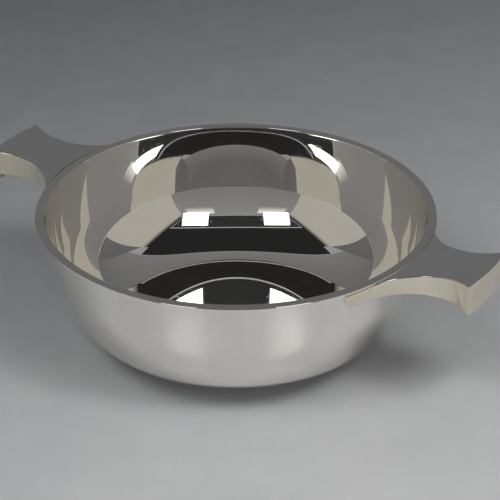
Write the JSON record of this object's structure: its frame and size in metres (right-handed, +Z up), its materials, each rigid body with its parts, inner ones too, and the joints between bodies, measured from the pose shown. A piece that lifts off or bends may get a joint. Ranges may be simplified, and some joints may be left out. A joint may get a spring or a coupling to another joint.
{
  "type": "quaich",
  "caption": "Shallow round silver drinking bowl with a flared lip, a flat base and flat flared lugs on opposite sides of the rim to hold it by.",
  "frame": {"origin": "middle of the flat under the bowl, on the surface that it stands on", "axes": "+X along the lugs towards the right lug, +Z up along the bowl's axis, -Y towards the front"},
  "size_m": [0.1446, 0.1038, 0.0397],
  "materials": {
    "bowl_silver": "polished silver with fine hairline scratches",
    "lug_silver": "polished silver, slightly softer than the bowl"
  },
  "bodies": {
    "root": {"bowl": "bowl_silver", "left_lug_top_plate": "lug_silver", "left_lug_underside_plate": "lug_silver", "left_lug_front_side_strip": "lug_silver", "left_lug_rear_side_strip": "lug_silver", "left_lug_end_strip": "lug_silver", "right_lug_top_plate": "lug_silver", "right_lug_underside_plate": "lug_silver", "right_lug_front_side_strip": "lug_silver", "right_lug_rear_side_strip": "lug_silver", "right_lug_end_strip": "lug_silver"}
  },
  "joints": []
}
